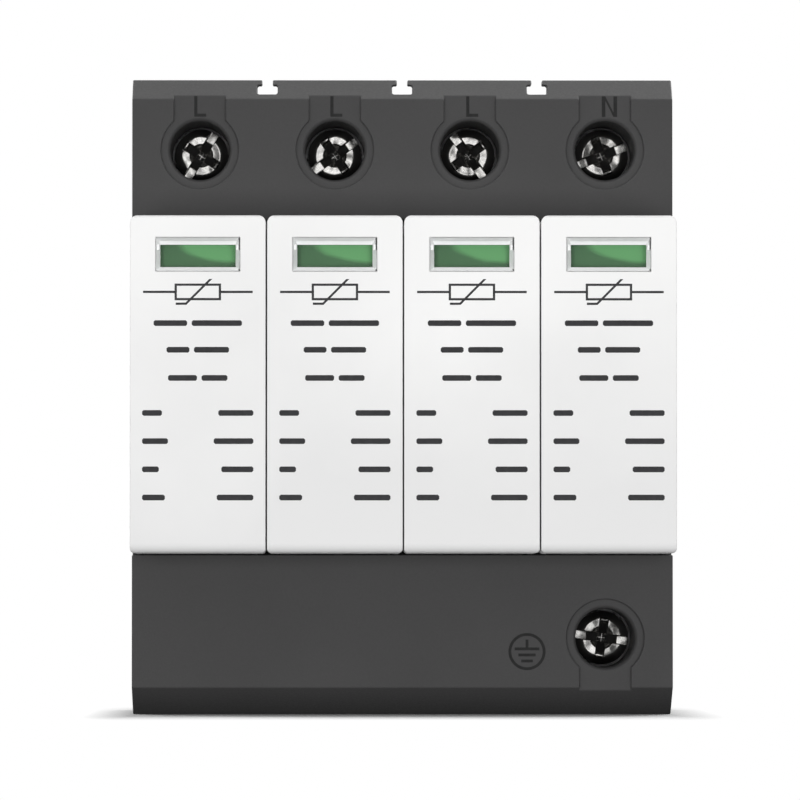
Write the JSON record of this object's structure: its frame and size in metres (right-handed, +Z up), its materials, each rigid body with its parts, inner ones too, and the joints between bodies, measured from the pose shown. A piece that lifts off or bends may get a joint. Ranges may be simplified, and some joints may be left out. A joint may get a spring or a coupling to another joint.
{
  "type": "din rail surge arrester",
  "caption": "Rail-mounted surge arrester: graphite base with screw terminals above and below, and white plug-in varistor modules with status windows that drop a flag when they trip.",
  "frame": {"origin": "middle of the rail seat: on the plane that rests on the rail, mid-width and on the rail's centre line", "axes": "X along the rail, +Z up, front towards -Y, so +Y points into the rail"},
  "size_m": [0.072, 0.0635, 0.0848],
  "materials": {
    "base_plastic": "fine satin texture",
    "clip_plastic": "satin",
    "module_plastic": "satin",
    "window_clear": "clear, polished",
    "flag_green": "satin",
    "backing_red": "satin",
    "screw_steel": "nickel plated, slightly brushed",
    "cage_steel": "zinc plated",
    "spring_steel": "bare wire",
    "contact_copper": "rolled strip",
    "varistor_coating": "dipped coating"
  },
  "bodies": {
    "base": {"base_frame": "base_plastic", "upper_terminal_cover": "base_plastic", "lower_terminal_cover": "base_plastic", "earth_busbar": "contact_copper", "rail_clip_spring": "spring_steel", "line_contact_1": "contact_copper", "line_contact_2": "contact_copper", "line_contact_3": "contact_copper", "line_contact_4": "contact_copper"},
    "rail_clip": {"rail_clip": "clip_plastic"},
    "line_1_screw": {"terminal_screw_1": "screw_steel"},
    "line_1_cage": {"terminal_cage_1": "cage_steel"},
    "line_2_screw": {"terminal_screw_2": "screw_steel"},
    "line_2_cage": {"terminal_cage_2": "cage_steel"},
    "line_3_screw": {"terminal_screw_3": "screw_steel"},
    "line_3_cage": {"terminal_cage_3": "cage_steel"},
    "line_4_screw": {"terminal_screw_4": "screw_steel"},
    "line_4_cage": {"terminal_cage_4": "cage_steel"},
    "earth_screw": {"earth_terminal_screw": "screw_steel"},
    "earth_cage": {"earth_terminal_cage": "cage_steel"},
    "module_1": {"module_cover_1": "module_plastic", "module_back_1": "module_plastic", "window_1": "window_clear", "flag_backing_1": "backing_red", "trip_spring_1": "spring_steel", "varistor_1": "varistor_coating", "line_blade_1": "contact_copper", "earth_blade_1": "contact_copper"},
    "flag_1": {"trip_flag_1": "flag_green"},
    "module_2": {"module_cover_2": "module_plastic", "module_back_2": "module_plastic", "window_2": "window_clear", "flag_backing_2": "backing_red", "trip_spring_2": "spring_steel", "varistor_2": "varistor_coating", "line_blade_2": "contact_copper", "earth_blade_2": "contact_copper"},
    "flag_2": {"trip_flag_2": "flag_green"},
    "module_3": {"module_cover_3": "module_plastic", "module_back_3": "module_plastic", "window_3": "window_clear", "flag_backing_3": "backing_red", "trip_spring_3": "spring_steel", "varistor_3": "varistor_coating", "line_blade_3": "contact_copper", "earth_blade_3": "contact_copper"},
    "flag_3": {"trip_flag_3": "flag_green"},
    "module_4": {"module_cover_4": "module_plastic", "module_back_4": "module_plastic", "window_4": "window_clear", "flag_backing_4": "backing_red", "trip_spring_4": "spring_steel", "varistor_4": "varistor_coating", "line_blade_4": "contact_copper", "earth_blade_4": "contact_copper"},
    "flag_4": {"trip_flag_4": "flag_green"}
  },
  "joints": [
    {"name": "rail_clip_pull", "type": "slide", "parent": "base", "child": "rail_clip", "axis": [0, 0, -1], "range_m": [0, 0.004], "stiffness_N_per_m": 400, "springref_m": -0.005, "deforming": ["rail_clip_spring"]},
    {"name": "line_1_screw_turn", "type": "hinge", "parent": "base", "child": "line_1_screw", "pos_m": [-0.027, -0.01905, 0.0316], "axis": [0, 1, 0], "range_deg": [0, 2700]},
    {"name": "line_1_cage_rise", "type": "slide", "parent": "base", "child": "line_1_cage", "axis": [0, -1, 0], "range_m": [0, 0.006]},
    {"name": "line_2_screw_turn", "type": "hinge", "parent": "base", "child": "line_2_screw", "pos_m": [-0.009, -0.01905, 0.0316], "axis": [0, 1, 0], "range_deg": [0, 2700]},
    {"name": "line_2_cage_rise", "type": "slide", "parent": "base", "child": "line_2_cage", "axis": [0, -1, 0], "range_m": [0, 0.006]},
    {"name": "line_3_screw_turn", "type": "hinge", "parent": "base", "child": "line_3_screw", "pos_m": [0.009, -0.01905, 0.0316], "axis": [0, 1, 0], "range_deg": [0, 2700]},
    {"name": "line_3_cage_rise", "type": "slide", "parent": "base", "child": "line_3_cage", "axis": [0, -1, 0], "range_m": [0, 0.006]},
    {"name": "line_4_screw_turn", "type": "hinge", "parent": "base", "child": "line_4_screw", "pos_m": [0.027, -0.01905, 0.0316], "axis": [0, 1, 0], "range_deg": [0, 2700]},
    {"name": "line_4_cage_rise", "type": "slide", "parent": "base", "child": "line_4_cage", "axis": [0, -1, 0], "range_m": [0, 0.006]},
    {"name": "earth_screw_turn", "type": "hinge", "parent": "base", "child": "earth_screw", "pos_m": [0.027, -0.01905, -0.0334], "axis": [0, 1, 0], "range_deg": [0, 2700]},
    {"name": "earth_cage_rise", "type": "slide", "parent": "base", "child": "earth_cage", "axis": [0, -1, 0], "range_m": [0, 0.006]},
    {"name": "module_1_pull", "type": "slide", "parent": "base", "child": "module_1", "axis": [0, -1, 0], "range_m": [0, 0.042]},
    {"name": "flag_1_trip", "type": "slide", "parent": "module_1", "child": "flag_1", "axis": [0, 0, -1], "range_m": [0, 0.0052], "deforming": ["trip_spring_1"]},
    {"name": "module_2_pull", "type": "slide", "parent": "base", "child": "module_2", "axis": [0, -1, 0], "range_m": [0, 0.042]},
    {"name": "flag_2_trip", "type": "slide", "parent": "module_2", "child": "flag_2", "axis": [0, 0, -1], "range_m": [0, 0.0052], "deforming": ["trip_spring_2"]},
    {"name": "module_3_pull", "type": "slide", "parent": "base", "child": "module_3", "axis": [0, -1, 0], "range_m": [0, 0.042]},
    {"name": "flag_3_trip", "type": "slide", "parent": "module_3", "child": "flag_3", "axis": [0, 0, -1], "range_m": [0, 0.0052], "deforming": ["trip_spring_3"]},
    {"name": "module_4_pull", "type": "slide", "parent": "base", "child": "module_4", "axis": [0, -1, 0], "range_m": [0, 0.042]},
    {"name": "flag_4_trip", "type": "slide", "parent": "module_4", "child": "flag_4", "axis": [0, 0, -1], "range_m": [0, 0.0052], "deforming": ["trip_spring_4"]}
  ],
  "couplings": [
    {"joint": "line_1_screw_turn", "follows": "line_1_cage_rise", "rad_per_m": 7854},
    {"joint": "line_2_screw_turn", "follows": "line_2_cage_rise", "rad_per_m": 7854},
    {"joint": "line_3_screw_turn", "follows": "line_3_cage_rise", "rad_per_m": 7854},
    {"joint": "line_4_screw_turn", "follows": "line_4_cage_rise", "rad_per_m": 7854},
    {"joint": "earth_screw_turn", "follows": "earth_cage_rise", "rad_per_m": 7854}
  ]
}
